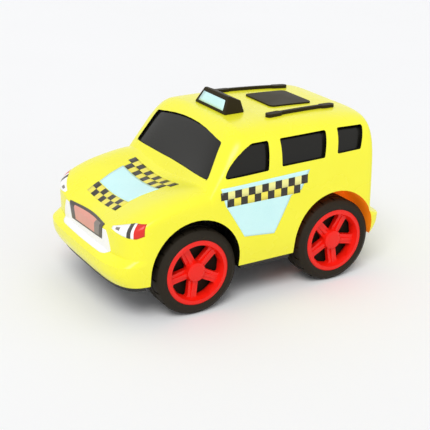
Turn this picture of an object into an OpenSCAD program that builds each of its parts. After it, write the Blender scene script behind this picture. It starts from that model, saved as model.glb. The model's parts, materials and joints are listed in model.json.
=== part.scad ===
// Friction-driven toy taxi: a moulded shell on a screwed-on chassis, wheels pressed on steel axles
// and a flywheel drive on the rear axle. X points forward, Y to the car's left and Z up.
// The origin is at the middle of the footprint, on the ground. Sizes are in millimetres.

/* [Body] */
// Overall length of the moulded body
body_len = 212; // [204:1:220]
// Overall width of the moulded body
body_w = 126; // [122:1:134]
// Height of the body's lower edge above the ground
body_bottom = 28; // [26:0.5:30]
// Wall thickness of the moulded body
wall = 2; // [1.6:0.1:2.6]
// Length of the rounded front end
nose_round = 38; // [34:1:46]
// Squareness of the front end, 2 for an ellipse
nose_power = 4.4; // [3:0.1:5]
// Length of the rounded rear end
tail_round = 22; // [18:1:26]
// Squareness of the rear end, 2 for an ellipse
tail_power = 6.6; // [5:0.1:8]
// Height of the bumper's top edge
bumper_top = 45.5; // [44:0.5:47]
// Height at which the bumpers stand out most
bumper_mid = 40; // [38:0.5:42]
// How far the bumpers tuck under at the lower edge
bumper_tuck = 5.75; // [2:0.25:6]
// How far the nose stands back above the bumper
nose_setback = 7.75; // [4:0.25:9]
// How far the tail stands back above the bumper
tail_setback = 9; // [4:0.25:10]
// How much the nose's height follows its narrowing, 0 for an upright end
nose_slope = 0.85; // [0.5:0.05:1]
// How much the tail's height follows its narrowing, 0 for an upright end
tail_slope = 0.15; // [0.1:0.05:0.6]
// How far the sides tuck in at the lower edge
side_tuck = 2.75; // [0:0.25:4]

/* [Hood and cabin] */
// Place of the windscreen's foot along the body
cowl_x = 36.6; // [34:0.2:40]
// Height of the windscreen's foot
cowl_z = 85.5; // [84:0.5:88]
// Fall of the hood from the windscreen's foot to the nose
hood_drop = 19.5; // [16:0.5:24]
// Share of the hood's fall that is an even slope, the rest curves
hood_even = 0.3; // [0.1:0.05:1]
// How far the hood's middle lies below its edges
hood_dish = 5; // [0:0.25:6]
// Angle of the windscreen to the ground
screen_rake = 58; // [52:1:62]
// Height of the roof at its peak
roof_z = 121; // [119:0.5:123]
// Place of the roof's peak along the body
roof_peak_x = -4; // [-20:1:5]
// Fall of the roof from its peak to the tail
roof_fall = 5; // [3:0.5:8]
// Height of the widest line along the hood
hood_waist = 59; // [54:0.5:61]
// Height of the widest line along the cabin
cabin_waist = 50.5; // [50:0.5:56]
// Squareness of the hood's sections
hood_power = 8.4; // [5:0.1:9]
// Squareness of the cabin's sections
cabin_power = 5.8; // [4.4:0.1:6.4]

/* [Windows] */
// Height of the side windows' lower edge
sill_z = 91.5; // [89:0.5:93]
// Height of the side windows
window_h = 20; // [18:0.5:21]
// Gap between the body and the dark moulding inside it
insert_gap = 0.25; // [0.15:0.05:0.4]
// Wall thickness of the dark moulding
insert_wall = 1.2; // [1:0.1:1.6]

/* [Wheels] */
// Distance between the axles
wheelbase = 110; // [106:1:114]
// Place of the front axle along the body
front_axle_x = 45.8; // [44:0.2:48]
// Tyre diameter
tyre_d = 60; // [56:1:62]
// Tyre width
tyre_w = 24; // [20:1:25]
// Wheel hub diameter, where the tyre sits
hub_d = 45.4; // [42:0.2:46]
// How far the tyres stand inside the body's sides
wheel_inset = 1.5; // [1:0.5:4]
// Axle diameter
axle_d = 3; // [2.5:0.5:3.5]
// Radius of the wheel arches
arch_r = 33; // [32:0.5:34]
// Height of the arches' centre above the axles
arch_rise = 5; // [4:0.5:6]
// Number of lugs around a tyre's tread
tread_lugs = 20; // [12:2:24]

/* [Chassis] */
// Height of the chassis's flat underside above the ground
floor_z = 13; // [12:0.5:14]
// Thickness of the chassis's floor and walls
floor_t = 2; // [1.6:0.2:2.4]
// Outer width of the chassis's tub
tub_w = 60; // [58:1:62]
// Thickness of the chassis's edge under the body
rim_t = 3; // [2:0.5:4]
// How far the chassis's edge stands inside the body's lower edge
rim_inset = 1.5; // [1:0.25:1.75]

/* [Friction drive] */
// Gear module
gear_m = 0.65; // [0.6:0.01:0.66]
// Teeth of the two large gears
gear_teeth = 36; // [34:1:36]
// Teeth of the two pinions
pinion_teeth = 12; // [11:1:13]
// Play between the teeth, along the pitch line
backlash = 0.3; // [0.2:0.05:0.35]
// Flywheel diameter
flywheel_d = 23; // [20:0.5:23.5]
// Flywheel thickness
flywheel_t = 6; // [5:0.5:6.5]
// Countershaft and flywheel shaft diameter
shaft_d = 2; // [2:0.1:2.4]

/* [Roof fittings] */
// Width of the roof sign at its foot
sign_w = 41; // [38:1:50]
// Depth of the roof sign at its foot
sign_depth = 15.2; // [14:0.2:18]
// Height of the roof sign's top above the ground
sign_top = 132; // [130:0.5:134]
// Place of the roof rails' front ends
rail_start = -21; // [-26:0.5:-18]
// Length of the roof rails
rail_len = 60; // [50:1:62]
// Distance between the roof rails
rail_gap = 66; // [60:1:70]
// How far each rail runs inwards towards the tail
rail_taper = 6; // [0:0.5:8]
// Place of the sunroof's front edge
sunroof_start = -37; // [-42:0.5:-34]
// Length of the sunroof panel
sunroof_len = 34; // [26:0.5:36]
// Width of the sunroof panel
sunroof_w = 36; // [30:1:40]

/* [Fits] */
// Radial play of an axle or a shaft in its bearing
run_fit = 0.05; // [0.03:0.01:0.1]
// Clearance between parts that turn past each other
turn_gap = 2; // [1.5:0.1:2.2]

/* [Hidden] */
front_x = body_len / 2;
rear_x = -body_len / 2;
half_w = body_w / 2;
screen_blend = 14;
end_angle = 86;
big = 300;

axle_z = tyre_d / 2;
axle_r = axle_d / 2;
rear_axle_x = front_axle_x - wheelbase;
wheel_out = half_w - wheel_inset;
wheel_in = wheel_out - tyre_w;
hub_r = hub_d / 2;
hub_cap = 5;
front_hub_turn = -27.6;
rear_hub_turn = -12;
web_z = tyre_w - 11;
web_t = 3;
arch_z = axle_z + arch_rise;
arch_shift = 1.5;
well_t = 1.5;
well_y = wheel_in - turn_gap - well_t;

tub_half = tub_w / 2;
floor_top = floor_z + floor_t;
tower_len = 12;
tower_t = 4;
post_r = 4;
post_front = [front_x - 17, 34];
post_rear = [rear_x + 12, 20];
post_top = sill_z - 14;
screw_r = 1.3;
screw_head_r = 2.6;
screw_head_t = 1.2;
screw_len = rim_t + 8;
pilot_depth = 14;

corner_r = 1.2;
insert_off = wall + insert_gap;
insert_bottom = sill_z - 9;

pitch_gear = gear_m * gear_teeth / 2;
pitch_pinion = gear_m * pinion_teeth / 2;
tooth_up = 0.8 * gear_m;
tooth_down = 1.1 * gear_m;
centre_d = pitch_gear + pitch_pinion;
counter_angle = 50;
flywheel_angle = 10;
axle_at = [rear_axle_x, axle_z];
counter_at = axle_at + centre_d * [cos(counter_angle), sin(counter_angle)];
flywheel_at = counter_at + centre_d * [cos(flywheel_angle), sin(flywheel_angle)];
shaft_r = shaft_d / 2;
case_wall = 1.4;
case_gap = 0.8;
case_r = pitch_gear + tooth_up + case_gap + case_wall;
gear_t = 4;
pinion_t = 5;
case_left = 14;
case_right = -8;
cover_t = 2;
axle_gear_y = 3;
counter_gear_y = -2.5;
flywheel_y = 11;
lug_r = 3;
lug_reach = case_r + 1.8;
foot_t = 2.5;
case_screw_r = 1;
case_screw_len = cover_t + 9;
mount_screw_len = foot_t + 5;
lugs = [
    axle_at + lug_reach * [cos(165), sin(165)],
    flywheel_at + lug_reach * [cos(-25), sin(-25)],
    counter_at + lug_reach * [cos(105), sin(105)]];
foot_z = floor_top + 7;
foot_y = 2;
foot_xs = [rear_axle_x - case_r - 4.5, rear_axle_x + case_r + 10];
tub_front = front_axle_x + 18;
tub_rear = foot_xs[0] - 6;

// Steps of the body's surface, outside and inside. Both are even.
skin_n = 10;
core_n = 8;

$fn = 48;

// The body's lines along X. Each gives a height or a share at a place x.
function mix(a, b, s) = a + (b - a) * s;
function smooth_step(a, b, v) = let (t = max(0, min(1, (v - a) / (b - a)))) t * t * (3 - 2 * t);
function soft_min(a, b, k) = let (h = max(k - abs(a - b), 0) / k) min(a, b) - h * h * k / 4;
function hood_line(x) = let (t = (x - cowl_x) / (front_x - cowl_x))
    cowl_z - hood_drop * mix(t * t, t, hood_even);
function roof_line(x) = roof_z - roof_fall * pow((x - roof_peak_x) / (rear_x - roof_peak_x), 2);
function screen_line(x) = cowl_z + (cowl_x - x) * tan(screen_rake);
function top_line(x) = x > cowl_x ? hood_line(x) : soft_min(roof_line(x), screen_line(x), screen_blend);
function cabin_share(x) = 1 - smooth_step(cowl_x - 20, cowl_x + 10, x);
function waist(x) = mix(hood_waist, cabin_waist, cabin_share(x));
function power(x) = mix(hood_power, cabin_power, cabin_share(x));

// Stations along the body as [x, end factor], for a surface set in by off from the outer one.
// The factor falls from 1 to 0 along a superellipse where the two ends close.
function end_reach(a, p) = pow(sin(a) / sin(end_angle), 2 / p);
function tail_station(a, off) =
    [rear_x + tail_round - (tail_round - off) * end_reach(a, tail_power), pow(cos(a), 2 / tail_power)];
function nose_station(a, off) =
    [front_x - nose_round + (nose_round - off) * end_reach(a, nose_power), pow(cos(a), 2 / nose_power)];
function stations(off, n) = concat(
    [for (i = [n:-1:1]) tail_station(end_angle * i / n, off)],
    [for (i = [0:2 * n]) [mix(rear_x + tail_round, cowl_x, i / 2 / n), 1]],
    [for (i = [1:n / 2]) [mix(cowl_x, front_x - nose_round, 2 * i / n), 1]],
    [for (i = [1:n]) nose_station(end_angle * i / n, off)]);

// The hood sinks towards its middle. Both ends stand back above the bumpers and tuck under below them.
function dish(x, y, e) =
    hood_dish * e * (1 - cabin_share(x)) * pow(max(0, 1 - pow(y / half_w / 0.8, 2)), 2);
function nose_share(x, off) = max(0, (x - front_x + nose_round) / (nose_round - off));
function tail_share(x, off) = max(0, (rear_x + tail_round - x) / (tail_round - off));
function bumper_step(z) = smooth_step(bumper_top - 2, bumper_top + 2, z);
function bumper_under(z) = bumper_tuck * pow(max(0, bumper_mid - z) / (bumper_mid - body_bottom), 2);
function setback(x, z, off) =
    nose_share(x, off) * (nose_setback * bumper_step(z) + bumper_under(z))
    - tail_share(x, off) * (tail_setback * bumper_step(z) + bumper_under(z));

// Half of the section at a station, as [y, z] from the lower edge to the middle of the roof.
function half_section(x, e, off, bottom, n) =
    let (w = (half_w - off) * e, m = waist(x), p = power(x), up = pow(e, x < 0 ? tail_slope : nose_slope),
        h = (top_line(x) - off - m) * up)
    concat(
        [for (z = [bottom, bottom + 5, bumper_mid, bumper_top - 2, bumper_top + 2])
            [w - side_tuck * e * pow((m - z) / (m - bottom), 2), z]],
        [for (i = [0:n]) let (a = 90 * i / n, y = w * pow(cos(a), 2 / p))
            [y, m + h * pow(sin(a), 2 / p) - dish(x, y, e)]]);
function ring(x, half, off) = let (n = len(half)) concat(
    [for (p = half) [x - setback(x, p[1], off), p[0], p[1]]],
    [for (i = [n - 2:-1:0]) [x - setback(x, half[i][1], off), -half[i][0], half[i][1]]]);

// The body's solid form, set in by off, flat below at the height bottom.
module body_form(off, bottom = body_bottom, n = core_n) {
    rings = [for (s = stations(off, n)) ring(s[0], half_section(s[0], s[1], off, bottom, n + 4), off)];
    count = len(rings);
    size = len(rings[0]);
    // Each facet is two triangles, split the same way in every form, so that nested forms never cross.
    sides = [for (i = [0:count - 2]) for (j = [0:size - 1])
        let (k = (j + 1) % size, a = i * size, b = a + size)
            each [[a + j, b + j, b + k], [a + j, b + k, a + k]]];
    half = (size - 1) / 2;
    strips = concat(
        [for (j = [0:half - 2]) [j, j + 1, size - 2 - j, size - 1 - j]],
        [[half - 1, half, half + 1]]);
    last = (count - 1) * size;
    front = [for (f = strips) [for (j = [len(f) - 1:-1:0]) last + f[j]]];
    polyhedron([for (r = rings) each r], concat(sides, strips, front), convexity = 8);
}

// Places a drawing made in X and Z upright, from the height y0 to y1 across the body.
module across(y0, y1) {
    translate([0, y1, 0]) rotate([90, 0, 0]) linear_extrude(y1 - y0) children();
}

// Places a drawing made in Y and Z upright, from x0 to x1 along the body.
module along(x0, x1) {
    translate([x0, 0, 0]) rotate([90, 0, 90]) linear_extrude(x1 - x0) children();
}

// A turned part along Y, from y0 to y1 at the place [x, z].
module rod(at, r, y0, y1) {
    translate([at[0], y0, at[1]]) rotate([-90, 0, 0]) cylinder(h = y1 - y0, r = r);
}

module both_sides() {
    children();
    mirror([0, 1, 0]) children();
}

module window(points) {
    offset(r = corner_r) offset(delta = -corner_r) polygon(points);
}

module rounded(points, r) {
    hull() for (p = points) translate(p) circle(r, $fn = 16);
}

// Wheel arches and wells.
module arch_outline(x, grow = 0) {
    hull() {
        translate([x + arch_shift, arch_z]) circle(arch_r + grow, $fn = 48);
        translate([x + arch_shift - arch_r - grow, 0]) square([2 * (arch_r + grow), 1]);
    }
}

module wells() {
    for (x = [front_axle_x, rear_axle_x])
        both_sides() across(well_y, half_w) arch_outline(x, well_t);
}

module arch_cuts() {
    for (x = [front_axle_x, rear_axle_x]) {
        both_sides() across(well_y + well_t, half_w + 5) arch_outline(x);
        across(-half_w, half_w) rounded([[x, 0], [x, axle_z]], axle_r + turn_gap);
    }
}

// Side windows, seen from the left. The front one has an arched leading edge.
module side_windows() {
    low = sill_z;
    high = sill_z + window_h;
    tip = cowl_x - 11.3;
    window(concat(
        [for (a = [0:10:90])
            [2.5 + (tip - 2.5) * pow(cos(a), 1.43), low + (high - low) * pow(sin(a), 1.43)]],
        [[-9.4, high], [-7.2, low + 1.1]]));
    window([[-17.8, low + 2], [-18.5, high], [-56, high], [-52.4, low + 2.4]]);
    window([[-62.7, low + 3.4], [-65.7, high], [-87.3, high - 0.9], [-82.3, low + 3.8]]);
}

// Windscreen and rear window, seen from the front.
module screen_outline(low, high, low_half, high_half, bow) {
    hull() {
        for (s = [-1, 1]) translate([s * low_half, low]) circle(corner_r + 1, $fn = 16);
        for (s = [-1:0.25:1]) translate([s * high_half, high + bow * (1 - s * s)])
            circle(corner_r + 1, $fn = 16);
    }
}

module window_cuts() {
    across(-half_w, half_w) side_windows();
    along(0, front_x) screen_outline(cowl_z + 5.5, roof_z - 11.5, 49, 43.4, 4);
    along(rear_x - 1, rear_x + 30) screen_outline(sill_z + 3, sill_z + window_h - 1, 40, 37, 1.5);
}

// Posts inside the body take the screws. A rib joins each to the end wall.
module post_places() {
    both_sides() for (p = [post_front, post_rear]) translate(p) children();
}

module posts() {
    post_places() translate([0, 0, body_bottom]) cylinder(h = post_top - body_bottom, r = post_r, $fn = 24);
    both_sides() for (p = [post_front, post_rear]) {
        end_x = p[0] > 0 ? front_x : rear_x;
        translate([min(p[0], end_x), p[1] - 0.8, body_bottom + 4])
            cube([abs(end_x - p[0]), 1.6, post_top - body_bottom - 4]);
    }
}

module post_pilots() {
    post_places() translate([0, 0, body_bottom - 1])
        cylinder(h = pilot_depth + 1, r = screw_r + 0.1, $fn = 16);
}

module body_shell() {
    color("gold") difference() {
        union() {
            difference() {
                body_form(0, n = skin_n);
                body_form(wall, body_bottom - 1);
            }
            intersection() {
                body_form(wall / 2);
                union() {
                    wells();
                    posts();
                }
            }
        }
        arch_cuts();
        window_cuts();
        post_pilots();
    }
}

module window_insert() {
    color("dimgray") intersection() {
        difference() {
            body_form(insert_off);
            body_form(insert_off + insert_wall, body_bottom - 1);
        }
        translate([rear_x, -half_w, insert_bottom]) cube([cowl_x + 6 - rear_x, body_w, big]);
    }
}

// Roof fittings stand on the body's outer surface.
module on_roof(height) {
    intersection() {
        difference() {
            body_form(-height, n = skin_n);
            body_form(0, body_bottom - 1, n = skin_n);
        }
        translate([0, 0, sill_z]) linear_extrude(big) children();
    }
}

module sunroof_panel() {
    r = 3;
    front = sunroof_start - r;
    back = sunroof_start - sunroof_len + r;
    side = sunroof_w / 2 - r;
    color("dimgray") on_roof(1.2) rounded([[front, -side], [front, side], [back, side], [back, -side]], r);
}

module rail() {
    r = 1.3;
    foot_r = 2.5;
    foot_len = 13;
    front = [rail_start - foot_r, (rail_gap + rail_taper) / 2];
    back = [rail_start - rail_len + foot_r, (rail_gap - rail_taper) / 2];
    way = (back - front) / norm(back - front);
    color("black") on_roof(2.2) union() {
        rounded([front, back], r);
        rounded([front, front + way * (foot_len - 2 * foot_r)], foot_r);
        rounded([back, back - way * (foot_len - 2 * foot_r)], foot_r);
    }
}

module roof_rail_left() {
    rail();
}

module roof_rail_right() {
    mirror([0, 1, 0]) rail();
}

module sign_housing() {
    foot_x = 2;
    rear_foot = foot_x - sign_depth;
    color("dimgray") difference() {
        hull() {
            translate([rear_foot, -sign_w / 2, roof_z - 6]) cube([sign_depth, sign_w, 7]);
            translate([foot_x - 6.6, 4.5 - sign_w / 2, sign_top - 1]) cube([1.4, sign_w - 9, 1]);
            translate([rear_foot + 0.4, 3.5 - sign_w / 2, sign_top - 4.5]) cube([1, sign_w - 7, 1]);
        }
        body_form(0, n = skin_n);
    }
}

// The chassis's edge follows the body's lower edge.
module rim_outline(inset) {
    half = [for (s = stations(inset, skin_n))
        [s[0] - setback(s[0], body_bottom, inset), (half_w - inset - side_tuck) * s[1]]];
    polygon(concat(half, [for (i = [len(half) - 1:-1:0]) [half[i][0], -half[i][1]]]));
}

module wheel_bays() {
    for (x = [front_axle_x, rear_axle_x])
        both_sides() translate([x + arch_shift - arch_r - well_t - 1, well_y - 1])
            square([2 * (arch_r + well_t + 1), big]);
}

module tub_outline(inset) {
    translate([tub_rear + inset, inset - tub_half])
        square([tub_front - tub_rear - 2 * inset, tub_w - 2 * inset]);
}

module towers() {
    for (x = [front_axle_x, rear_axle_x])
        both_sides() translate([x - tower_len / 2, tub_half - tower_t, floor_z])
            cube([tower_len, tower_t, axle_z + axle_r + 4 - floor_z]);
}

module chassis() {
    color("black") difference() {
        union() {
            translate([0, 0, body_bottom - rim_t]) linear_extrude(rim_t) difference() {
                rim_outline(rim_inset);
                wheel_bays();
                tub_outline(floor_t);
            }
            translate([0, 0, floor_z]) linear_extrude(body_bottom - floor_z) difference() {
                tub_outline(0);
                tub_outline(floor_t);
            }
            translate([0, 0, floor_z]) linear_extrude(floor_t) tub_outline(0);
            towers();
            for (x = foot_xs) translate([x, foot_y, floor_z]) cylinder(h = foot_z - floor_z, r = 3.5);
        }
        for (x = [front_axle_x, rear_axle_x]) rod([x, axle_z], axle_r + run_fit, -half_w, half_w);
        post_places() {
            translate([0, 0, floor_z]) cylinder(h = body_bottom, r = screw_r + 0.3);
            translate([0, 0, floor_z])
                cylinder(h = body_bottom - rim_t + screw_head_t - floor_z, r = screw_head_r + 0.3);
        }
        for (x = foot_xs) translate([x, foot_y, floor_top]) cylinder(h = 10, r = case_screw_r);
    }
}

module screw(length, r, head_r, head_t) {
    difference() {
        union() {
            cylinder(h = head_t, r = head_r);
            cylinder(h = head_t + length, r = r);
        }
        for (a = [0, 90]) rotate(a) translate([-head_r * 0.7, -0.3, -1]) cube([head_r * 1.4, 0.6, 1.7]);
    }
}

module body_screws() {
    color("silver") post_places() translate([0, 0, body_bottom - rim_t])
        screw(screw_len, screw_r, screw_head_r, screw_head_t);
}

// Involute teeth with play, as an outline in X and Z.
function inv(a) = tan(a) * 180 / PI - a;
function tooth_half(r, base, at_pitch) = at_pitch + inv(20) - (r > base ? inv(acos(base / r)) : 0);
module gear_outline(teeth, turn) {
    rp = gear_m * teeth / 2;
    base = rp * cos(20);
    at_pitch = 90 / teeth - backlash / 4 / rp * 180 / PI;
    radii = [rp - tooth_down, rp, rp + tooth_up];
    halves = [for (r = radii) tooth_half(r, base, at_pitch)];
    polygon([for (i = [0:teeth - 1]) for (k = [0:5])
        let (j = k < 3 ? k : 5 - k, a = turn + 360 * i / teeth + (k < 3 ? -1 : 1) * halves[j])
            radii[j] * [cos(a), sin(a)]]);
}

module gear(at, teeth, turn, y_top, t, bore) {
    difference() {
        across(y_top - t, y_top) translate(at) gear_outline(teeth, turn);
        rod(at, bore, y_top - t - 1, y_top + 1);
    }
}

// Drive case: the wall on the left carries the rim, the cover closes the right side.
module case_outline(r) {
    hull() for (p = [axle_at, counter_at, flywheel_at]) translate(p) circle(r, $fn = 64);
}

module case_lugs() {
    for (p = lugs) translate(p) circle(lug_r, $fn = 32);
}

module shaft_bores() {
    rod(axle_at, axle_r + run_fit, -half_w, half_w);
    rod(counter_at, shaft_r + run_fit, -half_w, half_w);
    rod(flywheel_at, shaft_r + run_fit, -half_w, half_w);
}

module gear_case() {
    color("white") difference() {
        union() {
            across(case_right, case_left) union() {
                case_outline(case_r);
                case_lugs();
            }
            translate([foot_xs[0] - 4, foot_y - 4, foot_z]) cube([rear_axle_x - foot_xs[0], 8, foot_t]);
            translate([rear_axle_x + 4, foot_y - 4, foot_z]) cube([foot_xs[1] - rear_axle_x, 8, foot_t]);
        }
        across(case_right - 1, case_left - cover_t) case_outline(case_r - case_wall);
        shaft_bores();
        for (p = lugs) rod(p, case_screw_r, case_right - 1, case_right + 12);
        for (x = foot_xs) translate([x, foot_y, foot_z - 1]) cylinder(h = 10, r = case_screw_r + 0.2);
    }
}

module gear_cover() {
    color("white") difference() {
        across(case_right - cover_t, case_right) union() {
            case_outline(case_r);
            case_lugs();
        }
        shaft_bores();
        for (p = lugs) rod(p, case_screw_r + 0.2, case_right - 5, case_right + 1);
    }
}

module case_screws() {
    color("silver") for (p = lugs)
        translate([p[0], case_right - cover_t - 1.2, p[1]]) rotate([-90, 0, 0])
            screw(case_screw_len, case_screw_r, 2, 1.2);
}

module mount_screws() {
    color("silver") for (x = foot_xs)
        translate([x, foot_y, foot_z + foot_t + 1.2]) rotate([180, 0, 0])
            screw(mount_screw_len, case_screw_r, 2, 1.2);
}

// Axles with their wheels.
module axle(x) {
    reach = wheel_out - hub_cap - 0.3;
    color("silver") rod([x, axle_z], axle_r, -reach, reach);
}

module at_wheel(x, side) {
    mirror([0, side < 0 ? 1 : 0, 0]) translate([x, wheel_in, axle_z]) rotate([-90, 0, 0]) children();
}

// A tyre is one black moulding with a web and a boss inside. Its tread has a middle rib between
// two grooves, and slots across both shoulders.
module tyre() {
    r = tyre_d / 2;
    w = tyre_w;
    color("black") difference() {
        rotate_extrude($fn = 96) polygon([
            [axle_r, web_z - web_t - 5], [5, web_z - web_t - 5], [5, web_z - web_t],
            [hub_r - 1, web_z - web_t], [hub_r + 0.5, 1], [hub_r + 2, 0.2], [r - 3, 0.6],
            [r - 0.8, 2.2], [r, 4.2], [r, w * 0.36], [r - 1.2, w * 0.36 + 0.5], [r - 1.2, w * 0.44 - 0.5],
            [r, w * 0.44], [r, w * 0.56], [r - 1.2, w * 0.56 + 0.5], [r - 1.2, w * 0.64 - 0.5],
            [r, w * 0.64], [r, w - 4.2], [r - 0.8, w - 2.2], [r - 3, w - 0.6], [hub_r + 3, w],
            [hub_r + 1.5, w - 0.3], [hub_r, w - 1], [hub_r, web_z], [axle_r, web_z]]);
        for (i = [0:tread_lugs - 1]) rotate(360 * i / tread_lugs) for (z = [-1, w * 0.64 - 0.25])
            translate([r - 0.8, -0.6, z]) cube([4, 1.2, w * 0.36 + 1.25]);
    }
}

module spoke_gap() {
    reach = hub_r - 5.6;
    rounded([[8.4, 0], reach * [cos(20), sin(20)], [reach + 0.5, 0], reach * [cos(20), -sin(20)]], 1.4);
}

// The red hub is pressed into the tyre's outer recess and over the axle's end.
module hub() {
    w = tyre_w;
    color("red") difference() {
        union() {
            rotate_extrude($fn = 96) polygon([
                [0, web_z], [5.5, web_z], [5.5, w - 8], [hub_r - 2.4, w - 8], [hub_r - 2.2, web_z],
                [hub_r, web_z], [hub_r, w - 1], [hub_r - 0.8, w - 0.4], [hub_r - 3, w - 0.4],
                [hub_r - 4.4, w - 4], [7.5, w - 5], [6.5, w - 2.2], [5, w - 1.4], [0, w - 1.2]]);
            for (i = [0:4]) rotate(72 * i + 36)
                translate([6, -1, w - 6]) cube([hub_r - 9.5, 2, 2.4]);
        }
        for (i = [0:4]) rotate(72 * i) translate([0, 0, w - 10]) linear_extrude(12) spoke_gap();
        translate([0, 0, -1]) cylinder(h = w - hub_cap + 1, r = axle_r);
    }
}

module front_axle() {
    axle(front_axle_x);
}

module rear_axle() {
    axle(rear_axle_x);
}

module front_left_hub() {
    at_wheel(front_axle_x, 1) rotate(front_hub_turn) hub();
}

module front_left_tyre() {
    at_wheel(front_axle_x, 1) tyre();
}

module front_right_hub() {
    at_wheel(front_axle_x, -1) rotate(front_hub_turn) hub();
}

module front_right_tyre() {
    at_wheel(front_axle_x, -1) tyre();
}

module rear_left_hub() {
    at_wheel(rear_axle_x, 1) rotate(rear_hub_turn) hub();
}

module rear_left_tyre() {
    at_wheel(rear_axle_x, 1) tyre();
}

module rear_right_hub() {
    at_wheel(rear_axle_x, -1) rotate(rear_hub_turn) hub();
}

module rear_right_tyre() {
    at_wheel(rear_axle_x, -1) tyre();
}

// The drive's gears: a tooth of each large gear points at its pinion, whose gap faces it.
module axle_gear() {
    color("ivory") gear(axle_at, gear_teeth, counter_angle, axle_gear_y, gear_t, axle_r);
}

module counter_shaft() {
    color("silver") rod(counter_at, shaft_r, case_right - cover_t + 0.3, case_left - 0.3);
}

module counter_gear() {
    color("ivory") union() {
        gear(counter_at, gear_teeth, flywheel_angle, counter_gear_y, gear_t, shaft_r);
        gear(counter_at, pinion_teeth, counter_angle + 180 + 180 / pinion_teeth,
            axle_gear_y + 0.5, axle_gear_y + 0.5 - counter_gear_y, shaft_r);
    }
}

module flywheel_shaft() {
    color("silver") rod(flywheel_at, shaft_r, case_right - cover_t + 0.3, case_left - 0.3);
}

module flywheel_pinion() {
    color("ivory") gear(flywheel_at, pinion_teeth, flywheel_angle + 180 + 180 / pinion_teeth,
        counter_gear_y + 0.5, pinion_t, shaft_r);
}

module flywheel() {
    color("gray") difference() {
        union() {
            rod(flywheel_at, flywheel_d / 2, flywheel_y - flywheel_t, flywheel_y);
            rod(flywheel_at, 2.5, flywheel_y - flywheel_t - 1.5, flywheel_y + 0.5);
        }
        rod(flywheel_at, shaft_r, flywheel_y - flywheel_t - 3, flywheel_y + 3);
        difference() {
            rod(flywheel_at, flywheel_d / 2 - 3, flywheel_y - 1, flywheel_y + 1);
            rod(flywheel_at, 3.5, flywheel_y - 2, flywheel_y + 2);
        }
    }
}

body_shell();
window_insert();
sunroof_panel();
roof_rail_left();
roof_rail_right();
sign_housing();
chassis();
body_screws();
gear_case();
gear_cover();
case_screws();
mount_screws();
front_axle();
front_left_hub();
front_left_tyre();
front_right_hub();
front_right_tyre();
rear_axle();
rear_left_hub();
rear_left_tyre();
rear_right_hub();
rear_right_tyre();
axle_gear();
counter_shaft();
counter_gear();
flywheel_shaft();
flywheel_pinion();
flywheel();
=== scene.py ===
# %% [markdown]
# # A toy taxi, dressed for its picture
# The taxi is a friction toy: a yellow moulded body on a black chassis, with pressed-on wheels,
# printed labels and a small flywheel drive inside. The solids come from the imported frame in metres,
# X forward, Y to the car's left and Z up. This lesson gives them smooth surfaces, labels and finishes.

# %% Load the frame
import json
from math import cos, radians, sin

import bpy
import numpy as np
from mathutils import Matrix, Vector

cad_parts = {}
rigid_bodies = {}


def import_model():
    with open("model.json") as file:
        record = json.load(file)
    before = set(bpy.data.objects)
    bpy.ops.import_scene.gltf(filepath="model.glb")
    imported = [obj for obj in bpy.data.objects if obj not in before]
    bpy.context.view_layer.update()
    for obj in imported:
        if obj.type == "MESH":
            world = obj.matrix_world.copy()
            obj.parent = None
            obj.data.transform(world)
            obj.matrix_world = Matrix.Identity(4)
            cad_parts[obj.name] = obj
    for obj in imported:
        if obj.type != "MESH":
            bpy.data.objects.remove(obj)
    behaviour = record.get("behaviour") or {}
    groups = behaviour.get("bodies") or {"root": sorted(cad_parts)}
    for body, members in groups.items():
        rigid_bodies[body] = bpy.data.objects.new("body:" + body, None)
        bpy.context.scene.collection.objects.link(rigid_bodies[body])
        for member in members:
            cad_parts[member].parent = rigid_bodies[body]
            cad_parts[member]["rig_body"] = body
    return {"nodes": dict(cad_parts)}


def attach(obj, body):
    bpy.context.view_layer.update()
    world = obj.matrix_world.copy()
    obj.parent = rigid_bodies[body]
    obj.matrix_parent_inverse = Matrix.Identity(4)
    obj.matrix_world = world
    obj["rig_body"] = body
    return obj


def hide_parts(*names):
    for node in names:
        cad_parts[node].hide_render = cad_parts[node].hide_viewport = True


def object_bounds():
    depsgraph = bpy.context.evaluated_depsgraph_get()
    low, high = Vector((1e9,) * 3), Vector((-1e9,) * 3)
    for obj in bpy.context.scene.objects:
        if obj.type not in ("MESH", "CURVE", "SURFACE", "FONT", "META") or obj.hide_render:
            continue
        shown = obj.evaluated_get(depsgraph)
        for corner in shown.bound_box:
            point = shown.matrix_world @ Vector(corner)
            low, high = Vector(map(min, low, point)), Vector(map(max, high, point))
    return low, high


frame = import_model()
cad_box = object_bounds()
MM = 0.001
cad_size = [round(v / MM, 1) for v in (cad_box[1] - cad_box[0])]
print("nodes:", len(frame["nodes"]), "box in mm:", cad_size)

# %% [markdown]
# ## The camera
# The picture is square and was taken from the front left, a little above the bonnet. The camera's
# place was found by matching the wheels' rims and the outline of the roof, so it is written down here
# as an aim, a direction and a distance. A long lens keeps the sides of the car nearly parallel.

# %% Place the camera
PICTURE_PX, FOCAL_PX, SENSOR_MM = 430, 1070.45, 36
aim = Vector((33.26, 61.5, 68.94)) * MM
azimuth, elevation, distance = radians(149.994), radians(21.608), 694.5 * MM
back = Vector((sin(azimuth) * cos(elevation), -cos(azimuth) * cos(elevation), sin(elevation)))
bpy.ops.object.camera_add(location=aim + back * distance,
                          rotation=(-back).to_track_quat("-Z", "Y").to_euler())
camera = bpy.context.object
camera.name = "picture_camera"
camera.data.sensor_width = SENSOR_MM
camera.data.lens = SENSOR_MM * FOCAL_PX / PICTURE_PX
camera.data.clip_start, camera.data.clip_end = 0.01, 30
bpy.context.scene.camera = camera
print("camera at", [round(v, 3) for v in camera.location], "lens", round(camera.data.lens, 1))

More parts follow.
